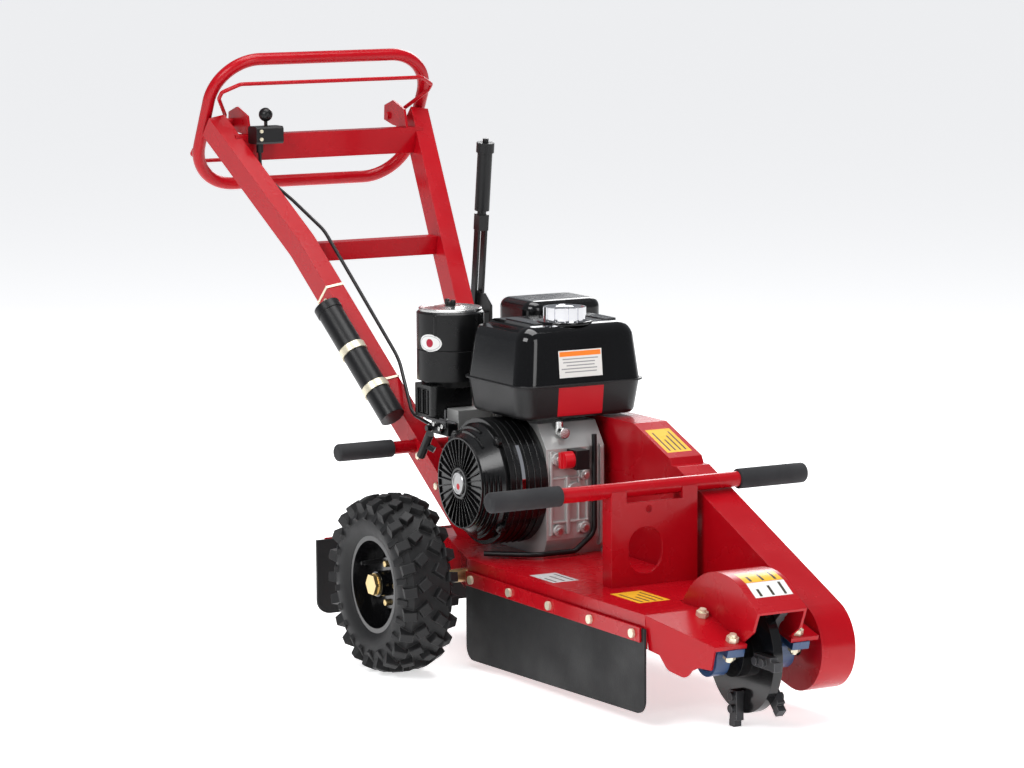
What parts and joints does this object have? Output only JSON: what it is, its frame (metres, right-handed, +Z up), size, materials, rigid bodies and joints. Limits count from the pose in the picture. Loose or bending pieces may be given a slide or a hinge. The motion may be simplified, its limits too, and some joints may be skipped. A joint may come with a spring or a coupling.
{
  "type": "stump grinder",
  "caption": "Walk-behind stump grinder: petrol engine on a two-wheeled steel deck, belt-driven toothed cutter at the front and a looped handlebar.",
  "frame": {"origin": "on the ground under the middle of the whole machine, midway between the wheels", "axes": "+X forwards from the handlebar to the cutter, +Y to the machine's left, +Z up"},
  "size_m": [1.8672, 0.724, 1.0936],
  "materials": {
    "red_paint": "gloss powder coat",
    "black_paint": "gloss black enamel",
    "tyre_rubber": "matt moulded rubber",
    "rubber": "matt rubber",
    "foam_grip": "matt foam",
    "black_plastic": "satin moulded plastic",
    "cast_aluminium": "as cast",
    "cast_iron": "dark cast iron",
    "steel": "bright steel",
    "chrome": "polished chrome",
    "zinc": "yellow zinc plated",
    "blue_paint": "dark blue enamel",
    "red_plastic": "gloss moulded plastic"
  },
  "bodies": {
    "root": {"air_cleaner": "black_plastic", "axle": "steel", "bail_brackets": "red_paint", "bearing_blocks": "blue_paint", "bearing_shelves": "red_paint", "belt_guard": "red_paint", "belt_guard_back": "red_paint", "brake_bracket": "black_paint", "brake_cable": "black_plastic", "brake_caliper": "black_paint", "carburettor": "cast_aluminium", "control_panel": "black_plastic", "crankcase": "cast_aluminium", "crankcase_cover": "cast_aluminium", "cutter_housing": "red_paint", "cylinder_block": "cast_aluminium", "deck_plate": "red_paint", "document_tube": "black_plastic", "drive_belt": "rubber", "engine_wiring": "black_plastic", "fan_shroud": "black_paint", "flap_strips": "red_paint", "frame_bolts": "zinc", "front_lift_bar": "red_paint", "front_lift_frame": "red_paint", "fuel_tank": "black_paint", "handle_cross_tubes": "red_paint", "handle_tube_left": "red_paint", "handle_tube_right": "red_paint", "handlebar_loop": "red_paint", "lift_grips": "foam_grip", "muffler": "steel", "muffler_guard": "black_paint", "rear_lift_bar": "red_paint", "recoil_cover": "black_paint", "rubber_flaps": "rubber", "throttle_box": "black_plastic", "throttle_cable": "black_plastic", "tube_straps": "zinc"},
    "right_wheel": {"right_tyre": "tyre_rubber", "right_rim": "black_paint", "right_wheel_disc": "black_paint"},
    "left_wheel": {"left_tyre": "tyre_rubber", "left_rim": "black_paint", "left_wheel_disc": "black_paint"},
    "cutter": {"cutter_disc": "black_paint", "cutter_shaft": "steel", "cutter_teeth": "steel", "driven_pulley": "cast_iron"},
    "crank": {"crankshaft": "steel", "flywheel": "cast_iron", "clutch_pulley": "cast_iron"},
    "bail_bar": {"bail": "red_paint"},
    "throttle_arm": {"throttle_lever": "black_plastic"},
    "brake_handle": {"brake_lever": "black_paint"},
    "brake_release": {"brake_button": "black_plastic"},
    "starter_grip": {"recoil_grip": "black_plastic"},
    "filler_cap": {"fuel_cap": "chrome"},
    "engine_switch": {"switch_knob": "red_plastic"},
    "choke_arm": {"choke_lever": "black_plastic"}
  },
  "joints": [
    {"name": "right_wheel_spin", "type": "hinge", "parent": "root", "child": "right_wheel", "pos_m": [0.08758, -0.308, 0.165], "axis": [0, 1, 0], "continuous": true},
    {"name": "left_wheel_spin", "type": "hinge", "parent": "root", "child": "left_wheel", "pos_m": [0.08758, 0.308, 0.165], "axis": [0, 1, 0], "continuous": true},
    {"name": "cutter_spin", "type": "hinge", "parent": "root", "child": "cutter", "pos_m": [0.80358, 0, 0.13], "axis": [0, 1, 0], "continuous": true},
    {"name": "crank_spin", "type": "hinge", "parent": "root", "child": "crank", "pos_m": [0.07258, 0, 0.335], "axis": [0, 1, 0], "continuous": true},
    {"name": "bail_hinge", "type": "hinge", "parent": "root", "child": "bail_bar", "pos_m": [-0.83742, 0, 0.951], "axis": [0, 1, 0], "range_deg": [-8, 0], "stiffness_Nm_per_rad": 2, "springref_deg": 8.59},
    {"name": "throttle_hinge", "type": "hinge", "parent": "root", "child": "throttle_arm", "pos_m": [-0.73542, -0.155, 0.93], "axis": [0, 1, 0], "range_deg": [-20, 20]},
    {"name": "brake_hinge", "type": "hinge", "parent": "root", "child": "brake_handle", "pos_m": [-0.50443, 0.198, 0.575], "axis": [0, 1, 0], "range_deg": [-24, 0]},
    {"name": "brake_button_slide", "type": "slide", "parent": "brake_handle", "child": "brake_release", "axis": [-0.1219, 0, -0.9925], "range_m": [0, 0.006], "stiffness_N_per_m": 600, "springref_m": -0.002},
    {"name": "starter_pull", "type": "slide", "parent": "root", "child": "starter_grip", "axis": [-0.599, -0.6489, 0.4692], "range_m": [0, 0.55], "stiffness_N_per_m": 20, "springref_m": -0.15},
    {"name": "fuel_cap_turn", "type": "hinge", "parent": "root", "child": "filler_cap", "pos_m": [0.11257, 0.045, 0.628], "axis": [0, 0, 1], "range_deg": [0, 90]},
    {"name": "switch_turn", "type": "hinge", "parent": "root", "child": "engine_switch", "pos_m": [0.20058, 0.008, 0.383], "axis": [0, -1, 0], "range_deg": [0, 60]},
    {"name": "choke_hinge", "type": "hinge", "parent": "root", "child": "choke_arm", "pos_m": [-0.08042, -0.113, 0.412], "axis": [0, 1, 0], "range_deg": [-35, 0]}
  ],
  "couplings": [
    {"joint": "crank_spin", "follows": "cutter_spin", "ratio": 1.3043}
  ]
}
